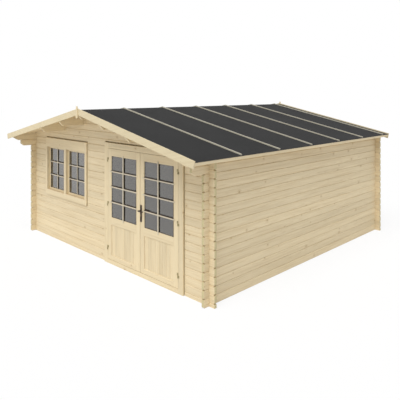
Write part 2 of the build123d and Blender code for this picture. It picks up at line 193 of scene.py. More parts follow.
def blendColours(tree, factor, first, second, mode="MIX"):
    # A Mix node takes colours in its slots 6 and 7 and gives one in slot 2
    node = tree.nodes.new("ShaderNodeMix")
    node.data_type = "RGBA"
    node.blend_type = mode
    feed(tree, node.inputs[0], factor)
    feed(tree, node.inputs[6], first)
    feed(tree, node.inputs[7], second)
    return node.outputs[2]


def pick(tree, vector):
    node = tree.nodes.new("ShaderNodeSeparateXYZ")
    tree.links.new(vector, node.inputs[0])
    return node.outputs


def gather(tree, x, y, z):
    node = tree.nodes.new("ShaderNodeCombineXYZ")
    for slot, value in enumerate((x, y, z)):
        feed(tree, node.inputs[slot], value)
    return node.outputs[0]


def reach(tree, x, y):
    # Length of a vector in a plane
    node = tree.nodes.new("ShaderNodeVectorMath")
    node.operation = "LENGTH"
    tree.links.new(gather(tree, x, y, 0.0), node.inputs[0])
    return node.outputs["Value"]


def noise(tree, vector, scale=1.0, detail=2.0, roughness=0.5):
    node = tree.nodes.new("ShaderNodeTexNoise")
    feed(tree, node.inputs["Vector"], vector)
    node.inputs["Scale"].default_value = scale
    node.inputs["Detail"].default_value = detail
    node.inputs["Roughness"].default_value = roughness
    return node.outputs[0]


def ramp(tree, value, fromLow, fromHigh, toLow=0.0, toHigh=1.0, smooth=True):
    node = tree.nodes.new("ShaderNodeMapRange")
    node.interpolation_type = "SMOOTHSTEP" if smooth else "LINEAR"
    feed(tree, node.inputs["Value"], value)
    feed(tree, node.inputs["From Min"], fromLow)
    feed(tree, node.inputs["From Max"], fromHigh)
    feed(tree, node.inputs["To Min"], toLow)
    feed(tree, node.inputs["To Max"], toHigh)
    return node.outputs["Result"]


def boardChances(tree, board):
    # Three random numbers that stay with a board
    chance = tree.nodes.new("ShaderNodeTexWhiteNoise")
    chance.noise_dimensions = "1D"
    feed(tree, chance.inputs["W"], board)
    return pick(tree, chance.outputs["Color"])


def newGroup(name, inputs, outputs):
    # inputs and outputs are (name, kind) with kind one of Float, Color, Vector
    group = bpy.data.node_groups.new(name, "ShaderNodeTree")
    for direction, sockets in (("INPUT", inputs), ("OUTPUT", outputs)):
        for label, kind in sockets:
            group.interface.new_socket(name=label, in_out=direction, socket_type="NodeSocket" + kind)
    return group, group.nodes.new("NodeGroupInput").outputs, group.nodes.new("NodeGroupOutput").inputs


def useGroup(tree, group, **values):
    node = tree.nodes.new("ShaderNodeGroup")
    node.node_tree = group
    for label, value in values.items():
        feed(tree, node.inputs[label], value)
    return node.outputs


# Which board of a row a point lies on, where it lies across that board, and how near its long edge
def buildBoardRow():
    group, given, result = newGroup(
        "boardRow",
        [("Place", "Float"), ("Pitch", "Float"), ("Start", "Float"), ("EdgeWidth", "Float")],
        [("Board", "Float"), ("Across", "Float"), ("Edge", "Float")],
    )
    fromStart = maths(group, "SUBTRACT", given["Place"], given["Start"])
    steps = maths(group, "DIVIDE", fromStart, given["Pitch"])
    board = maths(group, "FLOOR", steps)
    share = maths(group, "SUBTRACT", steps, board)
    across = maths(group, "MULTIPLY", maths(group, "SUBTRACT", share, 0.5), given["Pitch"])
    halfPitch = maths(group, "MULTIPLY", given["Pitch"], 0.5)
    toEdge = maths(group, "SUBTRACT", halfPitch, maths(group, "ABSOLUTE", across))
    group.links.new(board, result["Board"])
    group.links.new(across, result["Across"])
    group.links.new(ramp(group, toEdge, given["EdgeWidth"], 0.0), result["Edge"])
    return group


# Sawn pine: growth rings cut at a wandering depth, soft streaks, knots, and a tone for each board
grainSetup = {
    "boardJump": 37.0,
    "rowJump": 3.71,
    "ringSpacing": 0.0062,
    "ringWander": 0.10,
    "ringSink": 0.09,
    "ringBend": 0.010,
    "ringSharpness": 2.2,
    "wanderScale": 0.5,
    "sinkScale": 0.35,
    "sinkSeed": 5.0,
    "bendScale": (1.4, 22.0),
    "pithDepth": 0.012,
    "pithSpread": 0.07,
    "knotCell": (1.7, 7.5),
    "knotScatter": 0.85,
    "knotStretch": 1.35,
    "knotRadius": 0.0105,
    "knotSizes": (0.45, 1.25),
    "knotRim": (1.25, 0.6),
    "knotHalo": (4.0, 1.0),
    "knotBend": 0.006,
    "knotStrength": 0.50,
    "streakScale": (2.2, 90.0),
    "streakRange": (0.35, 0.75),
    "bandScale": (0.9, 34.0),
    "bandRange": (0.42, 0.72),
    "patchScale": (0.8, 9.0),
    "patchSpread": 0.16,
    "toneSpread": 0.10,
    "darkening": {"ring": 0.34, "streak": 0.34, "band": 0.46, "halo": 0.45},
    "rise": {"ring": 0.5, "streak": 0.35, "knot": 0.6},
    "roughness": (0.62, 0.5),
}


def buildPineGrain(setup):
    group, given, result = newGroup(
        "pineGrain",
        [
            ("Along", "Float"), ("Across", "Float"), ("Depth", "Float"), ("Board", "Float"),
            ("Light", "Color"), ("Dark", "Color"), ("Knot", "Color"),
            ("Figure", "Float"), ("Knottiness", "Float"),
        ],
        [("Color", "Color"), ("Roughness", "Float"), ("Height", "Float")],
    )
    chances = boardChances(group, given["Board"])
    along = maths(group, "MULTIPLY_ADD", chances[0], setup["boardJump"], given["Along"])
    shift = maths(group, "MULTIPLY", given["Board"], setup["rowJump"])

    def stretched(alongScale, acrossScale):
        # Coordinates for a texture drawn out along the board
        return gather(
            group,
            maths(group, "MULTIPLY", along, alongScale),
            maths(group, "MULTIPLY_ADD", given["Across"], acrossScale, shift),
            maths(group, "MULTIPLY", given["Depth"], acrossScale),
        )

    # Knots, one at most in each cell along the board
    cellAlong, cellAcross = setup["knotCell"]
    spot = gather(
        group,
        maths(group, "MULTIPLY", along, cellAlong),
        maths(group, "MULTIPLY_ADD", given["Across"], cellAcross, shift),
        0.0,
    )
    cells = group.nodes.new("ShaderNodeTexVoronoi")
    cells.voronoi_dimensions = "2D"
    group.links.new(spot, cells.inputs["Vector"])
    cells.inputs["Scale"].default_value = 1
    cells.inputs["Randomness"].default_value = setup["knotScatter"]
    apart = group.nodes.new("ShaderNodeVectorMath")
    apart.operation = "SUBTRACT"
    group.links.new(spot, apart.inputs[0])
    group.links.new(cells.outputs["Position"], apart.inputs[1])
    away = pick(group, apart.outputs[0])
    knotAlong = maths(group, "DIVIDE", away[0], cellAlong * setup["knotStretch"])
    knotAcross = maths(group, "DIVIDE", away[1], cellAcross)
    cellChance = pick(group, cells.outputs["Color"])
    present = maths(group, "LESS_THAN", cellChance[0], given["Knottiness"])
    size = ramp(group, cellChance[1], 0, 1, *setup["knotSizes"])
    radius = maths(group, "MULTIPLY", size, setup["knotRadius"])
    knotGap = maths(group, "DIVIDE", reach(group, knotAlong, knotAcross), radius)
    knot = maths(group, "MULTIPLY", ramp(group, knotGap, *setup["knotRim"]), present)
    halo = maths(group, "MULTIPLY", ramp(group, knotGap, *setup["knotHalo"]), present)

    # Rings round a pith that wanders along the board
    wanderPlace = maths(group, "MULTIPLY", along, setup["wanderScale"])
    drift = noise(group, gather(group, wanderPlace, shift, 0.0))
    drift = maths(group, "MULTIPLY", maths(group, "SUBTRACT", drift, 0.5), setup["ringWander"])
    offset = maths(group, "MULTIPLY", maths(group, "SUBTRACT", chances[1], 0.5), setup["pithSpread"])
    ringAcross = maths(group, "SUBTRACT", maths(group, "SUBTRACT", given["Across"], drift), offset)
    sinkPlace = maths(group, "MULTIPLY", along, setup["sinkScale"])
    sink = noise(group, gather(group, sinkPlace, setup["sinkSeed"], shift))
    ringDepth = maths(group, "ADD", maths(group, "ABSOLUTE", given["Depth"]), setup["pithDepth"])
    ringDepth = maths(group, "MULTIPLY_ADD", sink, setup["ringSink"], ringDepth)
    ringGap = reach(group, ringAcross, ringDepth)
    bend = noise(group, stretched(*setup["bendScale"]), detail=3)
    ringGap = maths(group, "MULTIPLY_ADD", bend, setup["ringBend"], ringGap)
    ringGap = maths(group, "MULTIPLY_ADD", halo, setup["knotBend"], ringGap)
    rings = maths(group, "SINE", maths(group, "MULTIPLY", ringGap, 2 * math.pi / setup["ringSpacing"]))
    rings = maths(group, "POWER", ramp(group, rings, -1, 1, 0, 1, smooth=False), setup["ringSharpness"])

    # Fine streaks and broad bands along the board
    streaks = noise(group, stretched(*setup["streakScale"]), detail=4, roughness=0.6)
    streaks = ramp(group, streaks, *setup["streakRange"])
    bands = ramp(group, noise(group, stretched(*setup["bandScale"]), detail=3), *setup["bandRange"])
    darkening = setup["darkening"]
    grain = maths(group, "MULTIPLY", streaks, darkening["streak"])
    grain = maths(group, "MULTIPLY_ADD", rings, darkening["ring"], grain)
    grain = maths(group, "MULTIPLY_ADD", bands, darkening["band"], grain, clamp=True)
    grain = maths(group, "MULTIPLY", grain, given["Figure"])
    grain = maths(group, "MULTIPLY_ADD", halo, darkening["halo"], grain, clamp=True)
    wood = blendColours(group, grain, given["Light"], given["Dark"])
    knotMask = maths(group, "MULTIPLY", knot, setup["knotStrength"])
    wood = blendColours(group, knotMask, wood, given["Knot"])

    # A tone for each board, with paler and darker patches
    half = setup["toneSpread"] / 2
    tone = ramp(group, chances[2], 0, 1, 1 - half, 1 + half, smooth=False)
    patches = noise(group, stretched(*setup["patchScale"]), detail=3)
    patches = maths(group, "SUBTRACT", patches, 0.5)
    tone = maths(group, "MULTIPLY_ADD", patches, setup["patchSpread"], tone)
    wood = blendColours(group, 1.0, wood, gather(group, tone, tone, tone), "MULTIPLY")
    group.links.new(wood, result["Color"])
    group.links.new(ramp(group, grain, 0, 1, *setup["roughness"]), result["Roughness"])
    rise = setup["rise"]
    raised = maths(group, "MULTIPLY", streaks, rise["streak"])
    raised = maths(group, "MULTIPLY_ADD", rings, rise["ring"], raised)
    group.links.new(maths(group, "MULTIPLY_ADD", knot, rise["knot"], raised), result["Height"])
    return group


# End grain: rings round a pith below the board's middle, speckled
endSetup = {
    "ringSpacing": 0.0046,
    "ringRange": (-0.2, 1),
    "ringShare": 0.75,
    "pithDepth": 0.014,
    "pithSpread": 0.07,
    "unevenScale": 26,
    "uneven": 0.006,
    "speckleScale": 420,
    "speckleRange": (0.45, 0.7),
    "speckleShare": 0.25,
    "facing": 0.65,
}


def buildEndGrain(setup):
    group, given, result = newGroup(
        "endGrain",
        [
            ("Across", "Float"), ("Depth", "Float"), ("Board", "Float"),
            ("Light", "Color"), ("Dark", "Color"),
        ],
        [("Color", "Color")],
    )
    chances = boardChances(group, given["Board"])
    offset = maths(group, "MULTIPLY", maths(group, "SUBTRACT", chances[1], 0.5), setup["pithSpread"])
    across = maths(group, "SUBTRACT", given["Across"], offset)
    depth = maths(group, "ADD", maths(group, "ABSOLUTE", given["Depth"]), setup["pithDepth"])
    fromPith = gather(group, across, depth, 0.0)
    ringGap = reach(group, across, depth)
    uneven = noise(group, fromPith, scale=setup["unevenScale"])
    ringGap = maths(group, "MULTIPLY_ADD", uneven, setup["uneven"], ringGap)
    rings = maths(group, "SINE", maths(group, "MULTIPLY", ringGap, 2 * math.pi / setup["ringSpacing"]))
    rings = ramp(group, rings, *setup["ringRange"], 0, setup["ringShare"])
    speckle = noise(group, fromPith, scale=setup["speckleScale"])
    speckle = ramp(group, speckle, *setup["speckleRange"])
    grain = maths(group, "MULTIPLY_ADD", speckle, setup["speckleShare"], rings, clamp=True)
    group.links.new(blendColours(group, grain, given["Light"], given["Dark"]), result["Color"])
    return group


# Stiles and rails in one piece: the grain turns where they meet, along a thin joint line
frameJoint = {"width": 0.0016, "core": 0.0004}


def buildFrameTurn(setup):
    group, given, result = newGroup(
        "frameTurn",
        [
            ("Test", "Float"), ("Middle", "Float"), ("HalfSpan", "Float"),
            ("Inside", "Vector"), ("Outside", "Vector"),
        ],
        [("Along", "Float"), ("Across", "Float"), ("Board", "Float"), ("Joint", "Float")],
    )
    fromMiddle = maths(group, "ABSOLUTE", maths(group, "SUBTRACT", given["Test"], given["Middle"]))
    gap = maths(group, "SUBTRACT", fromMiddle, given["HalfSpan"])
    outside = maths(group, "GREATER_THAN", gap, 0.0)
    # A Mix node takes vectors in its slots 4 and 5 and gives one in slot 1
    turn = group.nodes.new("ShaderNodeMix")
    turn.data_type = "VECTOR"
    feed(group, turn.inputs[0], outside)
    feed(group, turn.inputs[4], given["Inside"])
    feed(group, turn.inputs[5], given["Outside"])
    parts = pick(group, turn.outputs[1])
    group.links.new(parts[0], result["Along"])
    group.links.new(parts[1], result["Across"])
    farSide = maths(group, "GREATER_THAN", given["Test"], given["Middle"])
    whichEnd = maths(group, "ADD", farSide, 1.0)
    group.links.new(maths(group, "MULTIPLY", outside, whichEnd), result["Board"])
    joint = ramp(group, maths(group, "ABSOLUTE", gap), setup["width"], setup["core"])
    group.links.new(joint, result["Joint"])
    return group


boardRow = buildBoardRow()
pineGrain = buildPineGrain(grainSetup)
endGrain = buildEndGrain(endSetup)
frameTurn = buildFrameTurn(frameJoint)


# Woods: light, dark and knot are their colours, figure and knottiness how lively they are, and the V
# share how much of the knot colour is painted in as shade in the V between two boards, and as the dark
# line of a frame's joints. Sawn ends may have their own colours, which on the logs are darker: partly
# the end grain's own colour, partly painted shade
logWood = {
    "light": colour(226, 210, 176),
    "dark": colour(204, 182, 141),
    "knot": colour(150, 118, 76),
    # End colours: darker than the faces, partly the end grain's own colour and partly painted shade of
    # the log ends
    "endLight": colour(206, 195, 153),
    "endDark": colour(182, 165, 119),
    "figure": 0.85,
    "knottiness": 0.34,
    "veeShadeAndSeam": 0.14,
    "bump": 0.0006,
}
planedWood = {
    "light": colour(225, 209, 174),
    "dark": colour(207, 186, 146),
    "knot": colour(164, 126, 84),
    "figure": 0.7,
    "knottiness": 0.22,
    "veeShadeAndSeam": 0.35,
    "bump": 0.0004,
}
# Barge boards: the planed wood painted a little darker, as shade for the less light that bounces up to
# them from the floor
bargeShadedWood = {**planedWood, "light": colour(217, 203, 169), "dark": colour(200, 181, 143)}
battenWood = {**planedWood, "light": colour(192, 186, 169), "dark": colour(166, 158, 138)}
barWoodLook = {**planedWood, "light": colour(214, 204, 182), "dark": colour(198, 185, 160)}
roofWood = {
    "light": colour(224, 206, 168),
    "dark": colour(202, 176, 134),
    "knot": colour(148, 110, 70),
    "figure": 0.9,
    "knottiness": 0.5,
    "veeShadeAndSeam": 0.55,
    "bump": 0.0006,
}


def startMaterial(name):
    material = bpy.data.materials.new(name)
    material.use_nodes = True
    tree = material.node_tree
    return material, tree, tree.nodes["Principled BSDF"]


def raiseSurface(tree, shader, height, distance):
    bump = tree.nodes.new("ShaderNodeBump")
    bump.inputs["Strength"].default_value = 1
    bump.inputs["Distance"].default_value = distance
    tree.links.new(height, bump.inputs["Height"])
    tree.links.new(bump.outputs["Normal"], shader.inputs["Normal"])


def ownPlace(tree):
    # Object coordinates as one vector
    return tree.nodes.new("ShaderNodeTexCoord").outputs["Object"]


def objectPlace(tree, slope=0.0):
    # Object coordinates, turned so that a roof slope lies level
    place = tree.nodes.new("ShaderNodeTexCoord")
    vector = place.outputs["Object"]
    if slope:
        level = tree.nodes.new("ShaderNodeMapping")
        level.inputs["Rotation"].default_value = (0, slope, 0)
        tree.links.new(vector, level.inputs["Vector"])
        vector = level.outputs["Vector"]
    return pick(tree, vector), pick(tree, place.outputs["Normal"])


def dressWood(tree, shader, wood, along, across, depth, board, endFacing=None, veeShadeAndSeam=None):
    # Pine over one shader, with end grain where endFacing is high, and the knot colour painted in as
    # shade in the V's between boards and logs, and as the dark line of frame joints
    grown = useGroup(
        tree, pineGrain, Along=along, Across=across, Depth=depth, Board=board,
        Light=wood["light"], Dark=wood["dark"], Knot=wood["knot"],
        Figure=wood["figure"], Knottiness=wood["knottiness"],
    )
    surface = grown["Color"]
    if endFacing is not None:
        # End grain colours, which on the logs also carry painted shade
        cut = useGroup(
            tree, endGrain, Across=across, Depth=depth, Board=board,
            Light=wood.get("endLight", wood["light"]), Dark=wood.get("endDark", wood["dark"]),
        )
        isEnd = maths(tree, "GREATER_THAN", maths(tree, "ABSOLUTE", endFacing), endSetup["facing"])
        surface = blendColours(tree, isEnd, surface, cut["Color"])
    # Painted shade in the V's, and the dark line of frame joints, in the knot colour
    if veeShadeAndSeam is not None:
        surface = blendColours(tree, veeShadeAndSeam, surface, wood["knot"])
    tree.links.new(surface, shader.inputs["Base Color"])
    tree.links.new(grown["Roughness"], shader.inputs["Roughness"])
    raiseSurface(tree, shader, grown["Height"], wood["bump"])


# Stacked logs: a new log every pitch, with painted shade a little darker in the V between two, and much
# darker in the V between their bevelled ends
logs = {
    "height": 0.121,
    "vee": 0.0075,
    "endVee": 0.016,
    "endFade": (1.6, 0.8),
    # painted shade in the V between the log ends
    "endVeeShade": 0.75,
    "farFace": 53.0,
}


def logMaterial(name, wood, alongAxis, depthAxis, start, wallCentre, endPlane):
    material, tree, shader = startMaterial(name)
    place, facing = objectPlace(tree)
    course = {"Place": place[2], "Pitch": logs["height"], "Start": start}
    row = useGroup(tree, boardRow, **course, EdgeWidth=logs["vee"])
    wide = useGroup(tree, boardRow, **course, EdgeWidth=logs["endVee"])
    toEnd = maths(tree, "SUBTRACT", endPlane, maths(tree, "ABSOLUTE", place[alongAxis]))
    fadeFrom, fadeTo = [logs["endVee"] * share for share in logs["endFade"]]
    nearEnd = ramp(tree, toEnd, fadeFrom, fadeTo, 0, logs["endVeeShade"])
    # Painted shade: the knot colour in the V between two logs, and more of it in the V between their
    # ends
    veeShadeAndSeam = maths(
        tree,
        "MAXIMUM",
        maths(tree, "MULTIPLY", row["Edge"], wood["veeShadeAndSeam"]),
        maths(tree, "MULTIPLY", wide["Edge"], nearEnd),
    )
    farSide = maths(tree, "GREATER_THAN", place[depthAxis], 0.0)
    board = maths(tree, "MULTIPLY_ADD", farSide, logs["farFace"], row["Board"])
    depth = maths(tree, "SUBTRACT", maths(tree, "ABSOLUTE", place[depthAxis]), wallCentre)
    along, endFacing = place[alongAxis], facing[alongAxis]
    dressWood(tree, shader, wood, along, row["Across"], depth, board, endFacing, veeShadeAndSeam)
    return material


def boardMaterial(name, wood, alongAxis, acrossAxis, pitch, start=0.0, slope=0.0, edgeWidth=0.0):
    # Boards side by side, or one board where the pitch is wider than the piece
    material, tree, shader = startMaterial(name)
    place, facing = objectPlace(tree, slope)
    row = useGroup(
        tree, boardRow, Place=place[acrossAxis], Pitch=pitch, Start=start, EdgeWidth=edgeWidth
    )
    farSide = maths(tree, "GREATER_THAN", place[0], 0.0)
    board = maths(tree, "MULTIPLY_ADD", farSide, logs["farFace"], row["Board"])
    # Painted shade in the V between boards, where an edge width is given
    veeShadeAndSeam = maths(tree, "MULTIPLY", row["Edge"], wood["veeShadeAndSeam"]) if edgeWidth else None
    along, endFacing = place[alongAxis], facing[alongAxis]
    dressWood(tree, shader, wood, along, row["Across"], 0.0, board, endFacing, veeShadeAndSeam)
    return material


def frameMaterial(name, wood, testAxis, middle, halfSpan, insideAlong, insideMiddle, outsideMiddle):
    # The grain runs along axis insideAlong, 0 or 2, between the joints, and square to it beyond them
    material, tree, shader = startMaterial(name)
    place = objectPlace(tree)[0]
    outsideAlong = 2 - insideAlong
    insideAcross = maths(tree, "SUBTRACT", place[outsideAlong], insideMiddle)
    outsideAcross = maths(tree, "SUBTRACT", place[insideAlong], outsideMiddle)
    turned = useGroup(
        tree, frameTurn, Test=place[testAxis], Middle=middle, HalfSpan=halfSpan,
        Inside=gather(tree, place[insideAlong], insideAcross, 0.0),
        Outside=gather(tree, place[outsideAlong], outsideAcross, 0.0),
    )
    veeShadeAndSeam = maths(tree, "MULTIPLY", turned["Joint"], wood["veeShadeAndSeam"])
    dressWood(tree, shader, wood, turned["Along"], turned["Across"], 0.0, turned["Board"], None, veeShadeAndSeam)
    return material


# Roof felt: mineral granules, each strip between two battens a little different
feltLook = {
    "light": colour(40, 40, 40),
    "dark": colour(28, 28, 28),
    "strip": 0.919,
    "stripJump": 3.3,
    "granuleScale": 900,
    "granuleRange": (0.35, 0.7),
    "granuleShare": 0.6,
    "stainScale": 1.7,
    "stainShare": 0.4,
    "roughness": (0.95, 0.82),
    "specular": 0.25,
    "bump": 0.0012,
}
noiseSpread = (0.3, 0.7)  # most values of a noise lie between these


def feltMaterial(look):
    material, tree, shader = startMaterial("roofFelt")
    place = objectPlace(tree)[0]
    fromFront = maths(tree, "SUBTRACT", place[1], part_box("roof_battens_right")[0].y)
    strip = maths(tree, "FLOOR", maths(tree, "DIVIDE", fromFront, look["strip"]))
    where = gather(tree, place[0], place[1], maths(tree, "MULTIPLY", strip, look["stripJump"]))
    granules = noise(tree, where, scale=look["granuleScale"], roughness=0.7)
    stains = noise(tree, where, scale=look["stainScale"], detail=4)
    stains = ramp(tree, stains, *noiseSpread, 0, look["stainShare"])
    specks = ramp(tree, granules, *look["granuleRange"])
    mixture = maths(tree, "MULTIPLY_ADD", specks, look["granuleShare"], stains)
    tree.links.new(blendColours(tree, mixture, look["dark"], look["light"]), shader.inputs["Base Color"])
    roughness = ramp(tree, granules, *noiseSpread, *look["roughness"])
    tree.links.new(roughness, shader.inputs["Roughness"])
    shader.inputs["Specular IOR Level"].default_value = look["specular"]
    raiseSurface(tree, shader, granules, look["bump"])
    return material


# Glass: dark behind and strongly mirroring, as the photo's panes are
doorGlass = {
    "tint": (0.30, 0.30, 0.29, 1),
    "sheen": (1, 0.97, 0.93, 1),
    "ior": 2.18,
    "roughness": (0.01, 0.02),
    "waveScale": 4,
    "bump": 0.0003,
}
windowGlass = {**doorGlass, "ior": 2.54}


def glassMaterial(name, look):
    material, tree, shader = startMaterial(name)
    shader.inputs["Base Color"].default_value = look["tint"]
    shader.inputs["Transmission Weight"].default_value = 1
    shader.inputs["IOR"].default_value = look["ior"]
    shader.inputs["Specular Tint"].default_value = look["sheen"]
    waves = noise(tree, ownPlace(tree), scale=look["waveScale"], detail=1)
    haze = ramp(tree, waves, *noiseSpread, *look["roughness"])
    tree.links.new(haze, shader.inputs["Roughness"])
    raiseSurface(tree, shader, waves, look["bump"])
    return material


# Metals: brass-toned zinc on hinges, nails and screws, brown lacquer on the handle
metalGrain = {"stainScale": 60, "stainRange": (0.35, 0.7), "scratchScale": 700, "bump": 0.00004}
hingeLook = {
    **metalGrain,
    "metal": colour(172, 160, 120),
    "dull": colour(142, 130, 94),
    "roughness": (0.42, 0.62),
    "metallic": 0.25,
}
handleLook = {
    **metalGrain,
    "metal": colour(66, 50, 40),
    "dull": colour(42, 32, 26),
    "roughness": (0.28, 0.48),
    "metallic": 0.55,
}


def metalMaterial(name, look):
    material, tree, shader = startMaterial(name)
    where = ownPlace(tree)
    stains = noise(tree, where, scale=look["stainScale"], detail=4)
    stains = ramp(tree, stains, *look["stainRange"])
    scratches = noise(tree, where, scale=look["scratchScale"])
    tree.links.new(blendColours(tree, stains, look["metal"], look["dull"]), shader.inputs["Base Color"])
    gloss = ramp(tree, scratches, *noiseSpread, *look["roughness"])
    tree.links.new(gloss, shader.inputs["Roughness"])
    shader.inputs["Metallic"].default_value = look["metallic"]
    raiseSurface(tree, shader, scratches, look["bump"])
    return material


# Painted shade and reflection: dark strips behind the glazing bars and a dark rim round the glass, for
# the bars' shaded backs seen in the glass and the shaded reveals seen through it, and the key slots,
# painted shade of the keyways
shadeStripLook = {
    "light": colour(64, 52, 38),
    "dark": colour(44, 35, 26),
    "mottleScale": 90,
    "roughness": 0.8,
}


def shadeStripMaterial(look):
    material, tree, shader = startMaterial("paintedShadeStrip")
    mottle = noise(tree, ownPlace(tree), scale=look["mottleScale"], detail=3)
    tree.links.new(blendColours(tree, mottle, look["light"], look["dark"]), shader.inputs["Base Color"])
    shader.inputs["Roughness"].default_value = look["roughness"]
    return material


# The slopes of the roof, in the frame's metres: boards, felt and battens lie on one underside
roof = {"pitch": math.radians(12), "boards": 0.018}
roof["sine"] = math.sin(roof["pitch"])
roof["cosine"] = math.cos(roof["pitch"])
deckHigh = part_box("roof_boards_right")[1]
roof["peak"] = deckHigh.z - roof["boards"] / roof["cosine"]
roof["eave"] = deckHigh.x - roof["boards"] * roof["sine"]


def onRoof(x, y, height):
    # A point at a height square to the slope over the boards' underside
    side = 1 if x > 0 else -1
    low = roof["peak"] - abs(x) * roof["sine"] / roof["cosine"]
    return Vector((x + side * height * roof["sine"], y, low + height * roof["cosine"]))


sideCentre = sum(corner.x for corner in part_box("right_wall")) / 2
crossCentre = sum(corner.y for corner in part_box("rear_wall")) / 2
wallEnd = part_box("right_wall")[1].y
eaveLogEnd = -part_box("right_eave_logs")[0].y

sideLogs = logMaterial("sideLogs", logWood, 1, 0, 0.0, sideCentre, wallEnd)
eaveLogs = logMaterial("eaveLogs", logWood, 1, 0, 0.0, sideCentre, eaveLogEnd)
crossLogs = logMaterial("crossLogs", logWood, 0, 1, -logs["height"] / 2, crossCentre, wallEnd)

# Wider than any piece of that wood, so that each piece is one board
wholePitch = {"beam": 0.6, "upright": 0.35, "cross": 0.5, "slope": 0.7, "bar": 0.3}
beamWood = boardMaterial("beamWood", planedWood, 1, 2, pitch=wholePitch["beam"])
uprightWood = boardMaterial("uprightWood", planedWood, 2, 0, pitch=wholePitch["upright"])
crossWood = boardMaterial("crossWood", planedWood, 0, 2, pitch=wholePitch["cross"])
sides = (("left", -1), ("right", 1))
bargeFinish, battenFinish = {}, {}
for word, side in sides:
    onSlope = {"pitch": wholePitch["slope"], "slope": side * roof["pitch"]}
    bargeFinish[word] = boardMaterial(word + "Barge", bargeShadedWood, 0, 2, **onSlope)
    battenFinish[word] = boardMaterial(word + "Batten", battenWood, 0, 2, **onSlope)
feltFinish = feltMaterial(feltLook)
doorPane = glassMaterial("doorPane", doorGlass)
windowPane = glassMaterial("windowPane", windowGlass)
hingeFinish = metalMaterial("hingeMetal", hingeLook)
handleFinish = metalMaterial("handleLacquer", handleLook)
shadeStripFinish = shadeStripMaterial(shadeStripLook)
print("materials made")


# Mesh helpers: a piece is gathered as rings of points, then made into one object
right, up, out = Vector((1, 0, 0)), Vector((0, 0, 1)), Vector((0, -1, 0))


def newShape():
    return {"points": [], "faces": []}


def addLoft(shape, first, last):
    # Closed solid between two rings of the same number of points
    base = len(shape["points"])
    count = len(first)
    shape["points"] += [tuple(point) for point in first + last]
    shape["faces"].append(tuple(base + k for k in reversed(range(count))))
    shape["faces"].append(tuple(base + count + k for k in range(count)))
    for k in range(count):
        following = (k + 1) % count
        shape["faces"].append((base + k, base + following, base + count + following, base + count + k))


def addBar(shape, start, end, across, outward, outline):
    # A straight bar whose section is outline, as (across, outward) pairs
    rings = [[tip + across * u + outward * v for u, v in outline] for tip in (start, end)]
    addLoft(shape, *rings)


def boardOutline(width, height, edge):
    # Section of a board with its two outer edges taken off
    half = width / 2
    return [
        (-half, 0), (half, 0), (half, height - edge),
        (half - edge, height), (-half + edge, height), (-half, height - edge),
    ]


# Rings of a nail or screw head, slightly domed: shares of its radius, and of its rise
headSetup = {"sides": 8, "rings": ((1.0, -1.0), (0.92, 0.6), (0.45, 1.0))}


def addHead(shape, centre, outward, radius, rise):
    across = outward.orthogonal().normalized()
    upward = outward.cross(across)
    rings = []
    for share, lift in headSetup["rings"]:
        middle = centre + outward * lift * rise
        ring = []
        for k in range(headSetup["sides"]):
            turn = 2 * math.pi * k / headSetup["sides"]
            ring.append(middle + (across * math.cos(turn) + upward * math.sin(turn)) * radius * share)
        rings.append(ring)
    addLoft(shape, rings[0], rings[1])
    addLoft(shape, rings[1], rings[2])


def makePiece(name, shape, material, body, replaced=()):
    mesh = bpy.data.meshes.new(name)
    mesh.from_pydata(shape["points"], [], shape["faces"])
    tidy = bmesh.new()
    tidy.from_mesh(mesh)
    bmesh.ops.recalc_face_normals(tidy, faces=tidy.faces)
    tidy.to_mesh(mesh)
    tidy.free()
    mesh.materials.append(material)
    piece = bpy.data.objects.new(name, mesh)
    scene.collection.objects.link(piece)
    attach(piece, body)
    if replaced:
        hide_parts(*replaced)
    return piece


# Roof boards, from the ridge down each slope, with a V where they meet below
deckSetup = {"cover": 0.0951, "vee": 0.005, "gap": 0.0008, "shade": 0.006}


def makeRoofDeck(word, side, setup):
    low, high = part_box("roof_boards_" + word)
    count = round((high.y - low.y) / setup["cover"])
    pitch = (high.y - low.y) / count
    vee = setup["vee"]
    top = roof["boards"]
    deck = newShape()
    for k in range(count):
        front = low.y + k * pitch + setup["gap"] / 2
        rear = front + pitch - setup["gap"]
        section = [
            (front + vee, 0), (front, vee), (front, top),
            (rear, top), (rear, vee), (rear - vee, 0),
        ]
        ridge = [(0, y, roof["peak"] + height / roof["cosine"]) for y, height in section]
        eave = [onRoof(side * roof["eave"], y, height) for y, height in section]
        addLoft(deck, ridge, eave)
    wood = boardMaterial(
        word + "DeckWood", roofWood, 0, 1, pitch=pitch, start=low.y,
        slope=side * roof["pitch"], edgeWidth=setup["shade"],
    )
    makePiece(word + "RoofDeck", deck, wood, "cabin", ["roof_boards_" + word])


for word, side in sides:
    makeRoofDeck(word, side, deckSetup)
print("roof boards laid")


# Floor boards across the bearers
floorSetup = {"cover": 0.0955, "edge": 0.002, "gap": 0.0012, "shade": 0.003}


def makeFloor(setup):
    low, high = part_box("floor_boards")
    count = round((high.y - low.y) / setup["cover"])
    pitch = (high.y - low.y) / count
    outline = boardOutline(pitch - setup["gap"], high.z - low.z, setup["edge"])
    boards = newShape()
    for k in range(count):
        start = Vector((low.x, low.y + (k + 0.5) * pitch, low.z))
        addBar(boards, start, start + right * (high.x - low.x), -out, up, outline)
    wood = boardMaterial("floorWood", roofWood, 0, 1, pitch=pitch, start=low.y, edgeWidth=setup["shade"])
    makePiece("floorDeck", boards, wood, "cabin", ["floor_boards"])


makeFloor(floorSetup)
print("floor laid")


